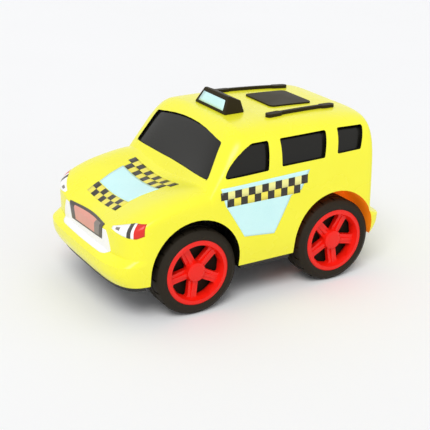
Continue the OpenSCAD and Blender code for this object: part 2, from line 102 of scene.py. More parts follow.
# %% [markdown]
# ## Light and floor
# A toy on a white table in a bright room has soft shade and hardly any dark side. An even white sky
# does most of the work, and one broad sun from above the camera's left shoulder gives the shapes a
# direction. Together they light a level surface at about 1, so colours render as they are written.

# %% Helpers for nodes, colours and materials
def add_node(tree, kind, sockets=(), **settings):
    """Adds a node, sets it, and gives each named socket a value or a link."""
    node = tree.nodes.new(kind)
    for key, value in settings.items():
        setattr(node, key, value)
    for key, value in dict(sockets).items():
        if isinstance(value, bpy.types.NodeSocket):
            tree.links.new(value, node.inputs[key])
        else:
            node.inputs[key].default_value = value
    return node


def paint(code):
    """A colour written as sRGB hex, as the linear values that Blender works in."""
    parts = [int(code[i:i + 2], 16) / 255 for i in (1, 3, 5)]
    return [c / 12.92 if c <= 0.04045 else ((c + 0.055) / 1.055) ** 2.4 for c in parts] + [1]


def blank_material(name):
    """A new material with its node tree, its Principled shader and the object's own coordinates."""
    material = bpy.data.materials.new(name)
    material.use_nodes = True
    tree = material.node_tree
    coords = add_node(tree, "ShaderNodeTexCoord")
    return material, tree, tree.nodes["Principled BSDF"], coords.outputs["Object"]


def connect(tree, skin, colour, rough, bump):
    """Links a colour mix, a roughness range and a bump to the shader."""
    for socket, output in (("Base Color", colour.outputs[2]), ("Roughness", rough.outputs[0]),
                           ("Normal", bump.outputs[0])):
        tree.links.new(output, skin.inputs[socket])


print("mid grey in linear light:", round(paint("#808080")[0], 3))

# %% The sky
scene = bpy.context.scene
scene.view_settings.view_transform = "Standard"
world = bpy.data.worlds.new("white_room")
scene.world = world
world.use_nodes = True
tree = world.node_tree
tree.nodes.clear()
rays = add_node(tree, "ShaderNodeLightPath")
seen = add_node(tree, "ShaderNodeMath", operation="MAXIMUM",
                sockets={0: rays.outputs["Is Camera Ray"], 1: rays.outputs["Is Glossy Ray"]})
shown = add_node(tree, "ShaderNodeMath", operation="MAXIMUM",
                 sockets={0: seen.outputs[0], 1: rays.outputs["Is Transmission Ray"]})
room = add_node(tree, "ShaderNodeBackground", {"Color": paint("#fbfcff"), "Strength": 0.62})
backdrop = add_node(tree, "ShaderNodeBackground", {"Color": paint("#ffffff"), "Strength": 1})
either = add_node(tree, "ShaderNodeMixShader",
                  {0: shown.outputs[0], 1: room.outputs[0], 2: backdrop.outputs[0]})
add_node(tree, "ShaderNodeOutputWorld", {"Surface": either.outputs[0]})
print("sky", room.inputs["Strength"].default_value)

# %% The sun
bpy.ops.object.light_add(type="SUN", location=(0.3, 0.5, 1))
sun = bpy.context.object
sun.data.angle = radians(30)
sun.data.energy = 1.5
sun.rotation_euler = Vector((0.5, 0.62, 1)).to_track_quat("Z", "Y").to_euler()
print("sun", sun.data.energy)

# %% The floor
floor_material, tree, skin, place = blank_material("white_table")
cloud = add_node(tree, "ShaderNodeTexNoise", {"Vector": place, "Scale": 3.0, "Detail": 3.0})
tone = add_node(tree, "ShaderNodeMix", data_type="RGBA",
                sockets={0: cloud.outputs["Fac"], 6: paint("#fdfdfd"), 7: paint("#f9f9f8")})
tree.links.new(tone.outputs[2], skin.inputs["Base Color"])
skin.inputs["Roughness"].default_value = 0.9
skin.inputs["Specular IOR Level"].default_value = 0.1
bpy.ops.mesh.primitive_plane_add(size=20, location=(0, 0, 0))
table = bpy.context.object
table.name = "table_top"
table.data.materials.append(floor_material)
print("floor:", table.name)

# %% [markdown]
# ## The finishes
# The body and the wheels are injection-moulded plastic. Such a surface is smooth and fairly glossy,
# with a faint unevenness where the melt cooled: that is what the two noises give, one for the colour
# and one for the gloss and a shallow bump. Each finish differs in its colours, gloss and grain. The
# rear wheel wells are the same thin yellow wall, but their finish is painted shade and painted light:
# amber for the yellow in shade there, and a faint emission that makes them glow.

# %% One recipe for moulded plastic
FLOW_MM = 28


def moulded_plastic(name, main, shade, gloss, grain_mm, depth_mm, ior=1.49):
    """A moulded plastic: two close colours, an uneven gloss and a shallow grain, sized in millimetres."""
    material, tree, skin, place = blank_material(name)
    flow = add_node(tree, "ShaderNodeTexNoise",
                    {"Vector": place, "Scale": 1 / (FLOW_MM * MM), "Detail": 3.0, "Roughness": 0.5})
    colour = add_node(tree, "ShaderNodeMix", data_type="RGBA",
                      sockets={0: flow.outputs["Fac"], 6: paint(main), 7: paint(shade)})
    grain = add_node(tree, "ShaderNodeTexNoise",
                     {"Vector": place, "Scale": 1 / (grain_mm * MM), "Detail": 2.0})
    rough = add_node(tree, "ShaderNodeMapRange",
                     {"Value": flow.outputs["Fac"], "From Min": 0.3, "From Max": 0.7,
                      "To Min": gloss - 0.05, "To Max": gloss + 0.05})
    bump = add_node(tree, "ShaderNodeBump",
                    {"Height": grain.outputs["Fac"], "Strength": 0.35, "Distance": depth_mm * MM})
    connect(tree, skin, colour, rough, bump)
    skin.inputs["IOR"].default_value = ior
    return material


print("recipe for moulded plastic, with flow marks of", FLOW_MM, "mm")

# %% The car's plastics
# ABS from a polished mould: a bright, even skin with soft reflections.
body_yellow = moulded_plastic("moulded_yellow_abs", "#fbf83a", "#faf32c", 0.26, 1.6, 0.02)
# The same yellow wall seen from inside: its amber colour is painted shade, and it gets a painted glow.
painted_glow_amber = moulded_plastic("yellow_abs_painted_glow", "#f79416", "#ee8410", 0.5, 1.6, 0.03)
painted_glow_skin = painted_glow_amber.node_tree.nodes["Principled BSDF"]
# Painted glow: an emission that lights the well walls, which are no lamp.
painted_glow_skin.inputs["Emission Color"].default_value = paint("#e06a08")
painted_glow_skin.inputs["Emission Strength"].default_value = 0.45
# Smoked polystyrene: nearly black, with the clearest reflections on the car.
glazing_dark = moulded_plastic("smoked_polystyrene", "#0f0e09", "#16150f", 0.24, 1.2, 0.01, 1.36)
# Trim from an etched mould: dark brown-black and half dull.
trim_black = moulded_plastic("black_trim_abs", "#2a2515", "#342d1b", 0.45, 0.7, 0.03, 1.16)
# Polypropylene: a waxy black.
chassis_black = moulded_plastic("black_polypropylene", "#1b1a18", "#242320", 0.45, 0.6, 0.04)
# Soft vinyl: dull, with a fine rubbery grain.
tyre_black = moulded_plastic("black_soft_pvc", "#1f1a11", "#2a2317", 0.66, 0.5, 0.06, 1.3)
# ABS in a strong red, a little less glossy than the body.
hub_red = moulded_plastic("red_hub_abs", "#f6200f", "#ed160a", 0.32, 1.2, 0.02, 1.4)
# Acetal and polypropylene in the drive: uncoloured, slightly translucent whites.
gear_white = moulded_plastic("natural_acetal", "#ece8da", "#e2ddcc", 0.38, 0.8, 0.02)
case_white = moulded_plastic("white_polypropylene", "#e9e9e4", "#dededa", 0.42, 0.7, 0.03)
print("plastics:", [m.name for m in bpy.data.materials if m.name != "white_table"])

# %% [markdown]
# ## Metals
# The axles are drawn steel wire, the screws are zinc-plated and the flywheel is a pressed disc.
# Metal has no colour of its own under the gloss: its reflection is tinted instead, so Metallic is 1.
# Drawn wire carries fine lines round the turn, which a stretched noise gives.

# %% One recipe for the small metal parts
STRETCH = 12


def turned_metal(name, main, shade, gloss, line_mm):
    """A plated or drawn metal with fine lines about the Y axis."""
    material, tree, skin, place = blank_material(name)
    stretch = add_node(tree, "ShaderNodeMapping", {"Vector": place, "Scale": (1, STRETCH, 1)})
    lines = add_node(tree, "ShaderNodeTexNoise",
                     {"Vector": stretch.outputs[0], "Scale": 1 / (line_mm * STRETCH * MM), "Detail": 3.0})
    colour = add_node(tree, "ShaderNodeMix", data_type="RGBA",
                      sockets={0: lines.outputs["Fac"], 6: paint(main), 7: paint(shade)})
    rough = add_node(tree, "ShaderNodeMapRange",
                     {"Value": lines.outputs["Fac"], "From Min": 0.3, "From Max": 0.7,
                      "To Min": gloss - 0.06, "To Max": gloss + 0.06})
    bump = add_node(tree, "ShaderNodeBump",
                    {"Height": lines.outputs["Fac"], "Strength": 0.3, "Distance": 0.02 * MM})
    connect(tree, skin, colour, rough, bump)
    skin.inputs["Metallic"].default_value = 1
    return material


axle_steel = turned_metal("drawn_steel", "#c9c9c6", "#b4b4b2", 0.28, 0.4)
screw_steel = turned_metal("zinc_plated_steel", "#b9bcc0", "#a3a6aa", 0.34, 0.3)
flywheel_steel = turned_metal("pressed_steel", "#a9a8a4", "#93928f", 0.4, 0.5)
print("metals:", axle_steel.name, screw_steel.name, flywheel_steel.name)

# %% [markdown]
# ## The body's surface as a formula
# The body is a loft: at each place along the car its section is a rounded box, which narrows at the
# nose and the tail. The solid follows it with flat facets, a few millimetres wide. The same formula,
# with the same sizes, lets the copy's points move onto the true curve and gives true normals.

# %% The loft's sizes and lines
FRONT, REAR, HALF_W, BOTTOM = 106.0, -106.0, 63.0, 28.0
NOSE, NOSE_POWER, NOSE_SLOPE = 38.0, 4.4, 0.85
TAIL, TAIL_POWER, TAIL_SLOPE = 22.0, 6.6, 0.15
COWL_X, COWL_Z, BUMPER_TOP, BUMPER_MID = 36.6, 85.5, 45.5, 40.0
NOSE_BACK, TAIL_BACK, TUCK = 7.75, 9.0, 5.75
LEDGE, LOW_LEVEL = 2.0, 5.0
END = np.sin(np.radians(86))
HOOD_FALL, HOOD_BOW = 19.5, 0.7
ROOF_Z, ROOF_FALL, ROOF_PEAK_X, ROOF_BLEND = 121.0, 5.0, -4.0, 14.0
SCREEN_SLOPE = np.tan(np.radians(58))
CABIN_FROM, CABIN_TO = COWL_X + 10, COWL_X - 20
HOOD_WAIST, CABIN_WAIST, HOOD_POWER, CABIN_POWER = 59.0, 50.5, 8.4, 5.8
DISH, DISH_WIDTH, SIDE_TUCK = 5.0, 0.8, 2.75
print("loft:", FRONT - REAR, "x", 2 * HALF_W, "mm, roof at", ROOF_Z)


# %% The lines along the car
def smooth_step(low, high, value):
    """0 below low and 1 above high, with a soft rise between them."""
    t = np.clip((value - low) / (high - low), 0, 1)
    return t * t * (3 - 2 * t)


def top_line(x):
    """Height of the middle of the hood, the windscreen and the roof."""
    t = (x - COWL_X) / (FRONT - COWL_X)
    hood = COWL_Z - HOOD_FALL * (HOOD_BOW * t * t + (1 - HOOD_BOW) * t)
    roof = ROOF_Z - ROOF_FALL * ((x - ROOF_PEAK_X) / (REAR - ROOF_PEAK_X)) ** 2
    screen = COWL_Z + (COWL_X - x) * SCREEN_SLOPE
    near = np.maximum(ROOF_BLEND - np.abs(roof - screen), 0) / ROOF_BLEND
    return np.where(x > COWL_X, hood, np.minimum(roof, screen) - near * near * ROOF_BLEND / 4)


def end_factors(x, inset):
    """How much of the full section is left at x, towards the nose and towards the tail."""
    nose = np.clip((x - (FRONT - NOSE)) / (NOSE - inset), 0, 1)
    tail = np.clip(((REAR + TAIL) - x) / (TAIL - inset), 0, 1)
    return ((1 - END ** 2 * nose ** NOSE_POWER) ** (1 / NOSE_POWER),
            (1 - END ** 2 * tail ** TAIL_POWER) ** (1 / TAIL_POWER))


def stand_back(z, step):
    """How far an end lies behind its bumper at a height: by the step above it, by the tuck below."""
    under = np.maximum(0, BUMPER_MID - z) / (BUMPER_MID - BOTTOM)
    return step * np.clip((z - BUMPER_TOP + LEDGE) / (2 * LEDGE), 0, 1) + TUCK * under ** 2


def facet_back(z, step):
    """The same for the solid, whose facets run straight between five heights."""
    levels = np.array([BOTTOM, BOTTOM + LOW_LEVEL, BUMPER_MID, BUMPER_TOP - LEDGE, BUMPER_TOP + LEDGE])
    return np.interp(z, levels, stand_back(levels, step))


print("top line at the cowl and the roof:", np.round(top_line(np.array([COWL_X, ROOF_PEAK_X])), 1))


# %% The surface and its slope
def station_of(x, z, inset):
    """The section that a point belongs to. The set-back grows evenly along both rounded ends."""
    nose, tail = FRONT - NOSE, REAR + TAIL
    ahead = nose + (x - nose) / (1 - stand_back(z, NOSE_BACK) / (NOSE - inset))
    behind = tail + (x - tail) / (1 - stand_back(z, TAIL_BACK) / (TAIL - inset))
    return np.where(x > nose, ahead, np.where(x < tail, behind, x))


def outside(points, inset):
    """Above 0 outside the loft, 0 on it and below 0 inside. Points are in millimetres."""
    x, y, z = points[:, 0], np.abs(points[:, 1]), points[:, 2]
    station = station_of(x, z, inset)
    share = 1 - smooth_step(CABIN_TO, CABIN_FROM, station)
    nose, tail = end_factors(station, inset)
    left = nose * tail
    waist = HOOD_WAIST + (CABIN_WAIST - HOOD_WAIST) * share
    power = HOOD_POWER + (CABIN_POWER - HOOD_POWER) * share
    dish = DISH * left * (1 - share) * np.maximum(0, 1 - (y / HALF_W / DISH_WIDTH) ** 2) ** 2
    tuck = SIDE_TUCK * left * (np.maximum(waist - z, 0) / (waist - BOTTOM)) ** 2
    wide = np.maximum((HALF_W - inset) * left - tuck, 0.1)
    full = top_line(station) - inset - waist
    tall = np.maximum(full * nose ** NOSE_SLOPE * tail ** TAIL_SLOPE, 0.1)
    rise = np.maximum((z + dish - waist) / tall, 0)
    return ((y / wide) ** power + rise ** power) ** (1 / power) - 1


def slope(points, inset, step=0.04):
    """The formula's slope at each point: it points straight out of the surface."""
    parts = []
    for axis in range(3):
        shift = np.zeros(3)
        shift[axis] = step
        parts.append((outside(points + shift, inset) - outside(points - shift, inset)) / (2 * step))
    return np.stack(parts, axis=1)


probe = np.array([[0.0, HALF_W, CABIN_WAIST], [ROOF_PEAK_X, 0.0, ROOF_Z], [60.0, HALF_W, HOOD_WAIST]])
print("on the loft:", np.round(outside(probe, 0), 4))

# %% [markdown]
# ## Copies of the solids
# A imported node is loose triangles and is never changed. Each visible piece starts as a copy of its
# node: its doubled points are merged, and smooth shading stops at sharp edges. The copy rides on the
# same body as the node and stands for it in the picture.

# %% Make a dressed copy of a node
SAME_POINT = 0.002 * MM


def only(piece):
    """Selects one object alone, as a click in the outliner does."""
    bpy.ops.object.select_all(action="DESELECT")
    piece.select_set(True)
    bpy.context.view_layer.objects.active = piece


def dressed(node, name, material, angle=35):
    """A merged, smooth-shaded copy that stands for a node."""
    source = frame["nodes"][node]
    piece = bpy.data.objects.new(name, source.data.copy())
    scene.collection.objects.link(piece)
    only(piece)
    bpy.ops.mesh.customdata_custom_splitnormals_clear()
    bpy.ops.object.mode_set(mode="EDIT")
    bpy.ops.mesh.select_all(action="SELECT")
    bpy.ops.mesh.remove_doubles(threshold=SAME_POINT)
    bpy.ops.object.mode_set(mode="OBJECT")
    bpy.ops.object.shade_smooth_by_angle(angle=radians(angle))
    piece.data.materials.clear()
    piece.data.materials.append(material)
    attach(piece, source["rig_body"])
    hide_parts(node)
    return piece


for side in ("front_left", "front_right", "rear_left", "rear_right"):
    dressed(side + "_tyre", side + "_rubber", tyre_black, 30)
    dressed(side + "_hub", side + "_wheel_cap", hub_red, 30)
print("wheels dressed")

# %% [markdown]
# ## Settle a lofted copy on its curve
# The lofted pieces get a finer mesh where they follow the body's curve: long edges there are divided,
# and their points move onto the formula's surface, which is mostly a few tenths of a millimetre away.
# The corners of those faces then take the formula's own direction as their normal, so light runs over
# the body without a trace of the facets. Cut edges, as at a window, stay crisp.

# %% Sort the faces
SKIN, INSIDE, CAP = 0, 1, 2
NEAR_END, NEAR_SKIN, FACING = 0.42, 1.6, 0.45
LEDGE_FROM_X, LEDGE_REACH, LEDGE_FACING, NEAR_LEDGE = 80, 3, 0.2, 4


def points_of(mesh):
    """Every point of a mesh, in millimetres."""
    flat = np.empty(len(mesh.vertices) * 3)
    mesh.vertices.foreach_get("co", flat)
    return flat.reshape(-1, 3) / MM


def sort_faces(piece, inset):
    """Marks each face of a fresh copy: on the loft, inside it, or on the flat cap of an end."""
    mesh = piece.data
    where = points_of(mesh)
    station = station_of(where[:, 0], where[:, 2], inset)
    ended = (station > FRONT - inset - NEAR_END) | (station < REAR + inset + NEAR_END)
    centres = np.array([f.center for f in mesh.polygons]) / MM
    normals = np.array([f.normal for f in mesh.polygons])
    grade = slope(centres, inset)
    length = np.maximum(np.linalg.norm(grade, axis=1), 1e-6)
    away = outside(centres, inset) / length
    facing = (grade / length[:, None] * normals).sum(axis=1)
    on = (np.abs(away) < NEAR_SKIN) & (facing > FACING)
    at_ledge = (np.abs(centres[:, 2] - BUMPER_TOP) < LEDGE_REACH) & (np.abs(away) < NEAR_LEDGE)
    ledge = at_ledge & (np.abs(centres[:, 0]) > LEDGE_FROM_X) & (normals[:, 2] > LEDGE_FACING)
    for f in mesh.polygons:
        outer = on[f.index] or ledge[f.index]
        f.material_index = CAP if ended[list(f.vertices)].all() else SKIN if outer else INSIDE


def points_with(mesh, mark):
    """True for each point of the faces with a mark."""
    flags = np.zeros(len(mesh.vertices), bool)
    for f in mesh.polygons:
        if f.material_index == mark:
            flags[list(f.vertices)] = True
    return flags


print("marks: skin", SKIN, "inside", INSIDE, "cap", CAP)


# %% Divide the skin and move its points
SPECK = 0.003 * MM
ROUNDS, LONGEST_MOVE = 4, 0.4
ENDS = ((1, NOSE_BACK), (-1, TAIL_BACK))


def divide_skin(piece, longest_mm):
    """Halves the skin's long edges in edit mode, until none is longer than asked."""
    for _ in range(5):
        mesh = piece.data
        where = points_of(mesh)
        on_skin = {tuple(sorted(k)) for f in mesh.polygons if f.material_index != INSIDE
                   for k in f.edge_keys}
        for part in (mesh.polygons, mesh.vertices):
            for item in part:
                item.select = False
        count = 0
        for e in mesh.edges:
            a, b = e.vertices
            long = np.linalg.norm(where[a] - where[b]) > longest_mm
            e.select = bool(long) and tuple(sorted((a, b))) in on_skin
            count += e.select
        if not count:
            break
        only(piece)
        bpy.context.tool_settings.mesh_select_mode = (False, True, False)
        bpy.ops.object.mode_set(mode="EDIT")
        bpy.ops.mesh.subdivide(number_cuts=1)
        bpy.ops.mesh.select_all(action="SELECT")
        bpy.ops.mesh.quads_convert_to_tris()
        bpy.ops.object.mode_set(mode="OBJECT")


def move_points(piece, inset):
    """Moves the skin's points onto the loft and the caps onto their flat ends. Gives the longest move."""
    mesh = piece.data
    where = points_of(mesh)
    before = where.copy()
    capped = points_with(mesh, CAP)
    mine = points_with(mesh, SKIN) & ~capped
    for _ in range(ROUNDS):
        grade = slope(where[mine], inset)
        grade[where[mine][:, 2] < BOTTOM + 0.01, 2] = 0
        size = np.maximum((grade ** 2).sum(axis=1), 1e-8)
        move = (outside(where[mine], inset) / size)[:, None] * grade
        where[mine] -= np.clip(move, -LONGEST_MOVE, LONGEST_MOVE)
    for end, step in ENDS:
        here = capped & (where[:, 0] * end > 0)
        high = where[here, 2]
        where[here, 0] += end * (facet_back(high, step) - stand_back(high, step))
    mesh.vertices.foreach_set("co", (where * MM).ravel())
    mesh.update()
    return float(np.linalg.norm(where - before, axis=1).max())


def drop_slivers(piece):
    """Takes out the faces that the move has pressed flat."""
    only(piece)
    bpy.ops.object.mode_set(mode="EDIT")
    bpy.ops.mesh.select_all(action="SELECT")
    bpy.ops.mesh.dissolve_degenerate(threshold=SPECK)
    bpy.ops.mesh.quads_convert_to_tris()
    bpy.ops.object.mode_set(mode="OBJECT")


print("points move at most", ROUNDS * LONGEST_MOVE, "mm along each axis")


# %% Set the normals
CAP_LEAN, CAP_HALF_WIDTH, CORNER_PULL, PROBE = 0.05, 35, 0.1, 0.05


def aim_normals(piece, inset):
    """Gives the corners of the skin and the caps the loft's own normals."""
    mesh = piece.data
    where = points_of(mesh)
    corner = np.empty(len(mesh.loops) * 3)
    mesh.corner_normals.foreach_get("vector", corner)
    corner = corner.reshape(-1, 3)
    loops, at, flat = [], [], []
    for f in mesh.polygons:
        if f.material_index != INSIDE:
            middle = np.array(f.center) / MM
            for loop in f.loop_indices:
                point = where[mesh.loops[loop].vertex_index]
                loops.append(loop)
                at.append(point + (middle - point) * CORNER_PULL)
                flat.append(f.material_index == CAP)
    at, flat = np.array(at), np.array(flat)
    grade = slope(at, inset)
    for end, step in ENDS:
        rise = (stand_back(at[:, 2] + PROBE, step) - stand_back(at[:, 2] - PROBE, step)) / (2 * PROBE)
        here = flat & (at[:, 0] * end > 0)
        lean = CAP_LEAN * np.sign(at[:, 1]) * (at[:, 1] / CAP_HALF_WIDTH) ** 2
        grade[here] = np.stack([np.full(len(at), float(end)), lean, rise], axis=1)[here]
    corner[loops] = grade / np.maximum(np.linalg.norm(grade, axis=1), 1e-9)[:, None]
    mesh.normals_split_custom_set(corner.tolist())


def settle(piece, inset, longest_mm, angle=35):
    """Divides the skin of a fresh copy, moves it onto the loft and sets its normals."""
    sort_faces(piece, inset)
    divide_skin(piece, longest_mm)
    moved = move_points(piece, inset)
    drop_slivers(piece)
    bpy.ops.object.shade_smooth_by_angle(angle=radians(angle))
    aim_normals(piece, inset)
    print(piece.name, len(piece.data.polygons), "faces, moved at most", round(moved, 2), "mm")


def one_material(piece):
    """Takes the marks off again: every face has the piece's own finish."""
    for f in piece.data.polygons:
        f.material_index = 0


print("settling ready")

# %% [markdown]
# ## Shell and windows
# The shell is yellow plastic outside and in. Its window reveals and front wheel wells get painted
# shade: they take the dark glazing finish, as they lie in shade inside the openings and behind the
# tyres. The rear wells take the amber finish, with its painted shade and glow. The windows are one dark
# moulding that lies just inside the shell.

# %% Dress the shell and the windows
YELLOW, PAINTED_AMBER_GLOW, PAINTED_DARK_SHADE = 0, 1, 2
WINDOWS_FROM_Z, WELL_Z, WELL_REACH = 80, 35.0, 35.2
# Painted shade for the front wells; painted amber shade and glow for the rear ones.
WELLS = [(47.3, PAINTED_DARK_SHADE), (-62.7, PAINTED_AMBER_GLOW)]
GLAZING_INSET = 2.25
shell = dressed("body_shell", "taxi_shell", body_yellow)
settle(shell, 0, 3)
# Slot 1 is the rear wells' painted amber glow; slot 2, the dark glazing finish, is painted shade.
shell.data.materials.append(painted_glow_amber)
shell.data.materials.append(glazing_dark)
for f in shell.data.polygons:
    x, _, z = f.center / MM
    finish = YELLOW
    if f.material_index == INSIDE:
        # Painted shade: the window reveals above this height take the dark glazing finish.
        finish = PAINTED_DARK_SHADE if z > WINDOWS_FROM_Z else YELLOW
        for well_x, well_finish in WELLS:
            if np.hypot(x - well_x, z - WELL_Z) < WELL_REACH:
                finish = well_finish
    f.material_index = finish
glazing = dressed("window_insert", "window_moulding", glazing_dark)
settle(glazing, GLAZING_INSET, 5)
one_material(glazing)

# %% [markdown]
# ## Roof fittings and chassis
# The sunroof and the rails are thin caps that follow the roof, so they settle on a loft that lies a
# little outside the body's. The sign is a tapered box, and its edges get a small bevel, as a moulded
# part has. The chassis and the small parts of the drive keep their solids' shapes.

# %% Dress the roof fittings
SUNROOF_RISE, RAIL_RISE = 1.2, 2.2
sunroof = dressed("sunroof_panel", "sunroof", trim_black)
settle(sunroof, -SUNROOF_RISE, 5)
one_material(sunroof)
for side in ("left", "right"):
    rail = dressed("roof_rail_" + side, "rail_" + side, trim_black)
    settle(rail, -RAIL_RISE, 5)
    one_material(rail)
sign = dressed("sign_housing", "sign_box", trim_black)
bevel = sign.modifiers.new("soft_edges", "BEVEL")
bevel.width, bevel.segments, bevel.limit_method, bevel.angle_limit = 0.5 * MM, 2, "ANGLE", radians(40)
only(sign)
bpy.ops.object.modifier_apply(modifier="soft_edges")
print("sign:", len(sign.data.polygons), "faces")

# %% Dress the chassis and the drive
dressed("chassis", "chassis_tub", chassis_black)
for node, material, slot in (
        ("body_screws", screw_steel, "screw_steel"), ("case_screws", screw_steel, "screw_steel"),
        ("mount_screws", screw_steel, "screw_steel"), ("gear_case", case_white, "case_white"),
        ("gear_cover", case_white, "case_white"), ("front_axle", axle_steel, "axle_steel"),
        ("rear_axle", axle_steel, "axle_steel"), ("counter_shaft", axle_steel, "axle_steel"),
        ("flywheel_shaft", axle_steel, "axle_steel"), ("axle_gear", gear_white, "gear_white"),
        ("counter_gear", gear_white, "gear_white"), ("flywheel_pinion", gear_white, "gear_white"),
        ("flywheel", flywheel_steel, "flywheel_steel")):
    dressed(node, node + "_finished", material)

# %% [markdown]
# ## Printed labels
# The taxi's marks are printed film stuck to the body: pale blue fields with a black and yellow
# checker, and lamps and a grille in grey and red. Each label starts as a flat grid in front of its
# place. Its points are laid out to the label's outline, a Shrinkwrap modifier lays it on the body, and
# Solidify gives it the film's thickness.

# %% Inks on film
DOT_MM, WASH_MM = 0.9, 15


def printed_film(name, main, shade, gloss=0.3):
    """Ink on a glossy film: an even colour with a faint print grain and a slightly uneven gloss."""
    material, tree, skin, place = blank_material(name)
    dots, wash = (add_node(tree, "ShaderNodeTexNoise",
                           {"Vector": place, "Scale": 1 / (size_mm * MM), "Detail": 2.0})
                  for size_mm in (DOT_MM, WASH_MM))
    both = add_node(tree, "ShaderNodeMath", operation="MULTIPLY",
                    sockets={0: dots.outputs["Fac"], 1: wash.outputs["Fac"]})
    colour = add_node(tree, "ShaderNodeMix", data_type="RGBA",
                      sockets={0: both.outputs[0], 6: paint(main), 7: paint(shade)})
    rough = add_node(tree, "ShaderNodeMapRange",
                     {"Value": wash.outputs["Fac"], "To Min": gloss - 0.04, "To Max": gloss + 0.06})
    bump = add_node(tree, "ShaderNodeBump",
                    {"Height": wash.outputs["Fac"], "Strength": 0.2, "Distance": 0.02 * MM})
    connect(tree, skin, colour, rough, bump)
    return material


ink = {
    "blue": printed_film("pale_blue_ink", "#d6fdfb", "#bdf0f1"),
    "black": printed_film("black_ink", "#231f12", "#352f1e"),
    "yellow": printed_film("yellow_ink", "#f7ec5a", "#f0dd48"),
    "cream": printed_film("cream_ink", "#f6f49c", "#efe986"),
    "white": printed_film("white_ink", "#ffffff", "#fbfaf4"),
    "grey": printed_film("grey_ink", "#8a8178", "#766d64"),
    "dark": printed_film("dark_grey_ink", "#4a443c", "#3b362f"),
    "rose": printed_film("rose_ink", "#e9a491", "#da8a78"),
    "red": printed_film("lamp_red_ink", "#e62a1a", "#d01d10"),
}
print("inks:", sorted(ink))

# %% Lay a label on the body
LAMP_TURN = (0.49, 0.872)
FRAMES = {
    "left": ((-1, 0, 0), (0, 0, 1)),
    "right": ((1, 0, 0), (0, 0, 1)),
    "front": ((0, 1, 0), (0, 0, 1)),
    "top": ((0, 1, 0), (-1, 0, 0)),
    "front_left": ((-LAMP_TURN[0], LAMP_TURN[1], 0), (0, 0, 1)),
    "front_right": ((LAMP_TURN[0], LAMP_TURN[1], 0), (0, 0, 1)),
}
FILM = 0.1 * MM
LIFT, SECOND_LIFT, GRILLE_LIFT = 0.12, 0.2, 0.3


def lay_label(name, facing, start_mm, outline, columns, rows, inks, target, lift_mm=LIFT):
    """Lays a film: outline(u, v) is a place on the flat label, inks(i, j) the ink of a cell."""
    bpy.ops.object.select_all(action="DESELECT")
    bpy.ops.mesh.primitive_grid_add(x_subdivisions=columns, y_subdivisions=rows, size=1)
    film = bpy.context.object
    film.name = name
    used = []
    for face in film.data.polygons:
        i = min(columns - 1, int((face.center.x + 0.5) * columns))
        j = min(rows - 1, int((face.center.y + 0.5) * rows))
        key = inks(i, j)
        if key not in used:
            used.append(key)
            film.data.materials.append(ink[key])
        face.material_index = used.index(key)
        face.use_smooth = True
    for v in film.data.vertices:
        across, up = outline(v.co.x + 0.5, v.co.y + 0.5)
        v.co = (across * MM, up * MM, 0)
    right, above = Vector(FRAMES[facing][0]).normalized(), Vector(FRAMES[facing][1])
    film.matrix_world = Matrix.Translation(Vector(start_mm) * MM) @ Matrix(
        (right, above, right.cross(above))).transposed().to_4x4()
    only(film)
    wrap = film.modifiers.new("lay", "SHRINKWRAP")
    wrap.target, wrap.wrap_method, wrap.wrap_mode = target, "PROJECT", "ABOVE_SURFACE"
    wrap.use_project_z, wrap.use_negative_direction, wrap.use_positive_direction = True, True, False
    wrap.offset = lift_mm * MM
    bpy.ops.object.modifier_apply(modifier="lay")
    wall = film.modifiers.new("film", "SOLIDIFY")
    wall.thickness, wall.offset = FILM, -1
    bpy.ops.object.modifier_apply(modifier="film")
    bpy.ops.object.transform_apply(location=True, rotation=True, scale=True)
    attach(film, "vehicle")


print("labels lie", LIFT, "mm above the body")


# %% Helpers for outlines and rows
def between(table, v):
    """Reads a value from a short list of (v, value) pairs, with straight lines between them."""
    return float(np.interp(v, [row[0] for row in table], [row[1] for row in table]))


def row(first, other):
    """Cells of one checker row, two grid columns each, from the first ink to the other and back."""
    return lambda i, j: first if i // 2 % 2 == 0 else other


def quad(low_left, low_right, high_right, high_left):
    """A four-sided outline from its corners."""
    def outline(u, v):
        low = [a + (b - a) * u for a, b in zip(low_left, low_right)]
        high = [a + (b - a) * u for a, b in zip(high_left, high_right)]
        return [a + (b - a) * v for a, b in zip(low, high)]
    return outline


print("label helpers ready")

# %% [markdown]
# ## Door labels
# On each side a pale blue shield hangs below a checker band of two rows, thirteen squares over eleven.
# The band rises a little towards the tail. Left and right are the same drawing seen from each side.

# %% Lay the door labels
SHIELD_TILT, BAND_TILT, BAND_FRONT = 0.1, 0.029, 28.8
BAND_FROM_V = 0.6


def door_field(u, v, sign_x):
    """The shield with the band's field above it, in x and z."""
    front = between([(0, 11.5), (0.62, 25.2), (0.66, 26), (1, 29)], v)
    rear = between([(0, -12), (0.62, -25.5), (0.66, -33), (1, -39.8)], v)
    x = front + (rear - front) * (u if sign_x < 0 else 1 - u)
    z = between([(0, 48.6), (0.62, 72.8), (0.66, 74), (1, 86)], v)
    below = SHIELD_TILT * x * (1 - min(1, v / BAND_FROM_V))
    above = BAND_TILT * (BAND_FRONT - x) * max(0, v - BAND_FROM_V) / (1 - BAND_FROM_V)
    return x * sign_x, z + below + above


def band_row(front, rear, lows, highs, sign_x):
    """A row of the band from its front end to its rear end, each with a lower and an upper height."""
    def outline(u, v):
        s = u if sign_x < 0 else 1 - u
        low, high = (a + (b - a) * s for a, b in (lows, highs))
        return (front + (rear - front) * s) * sign_x, low + (high - low) * v
    return outline


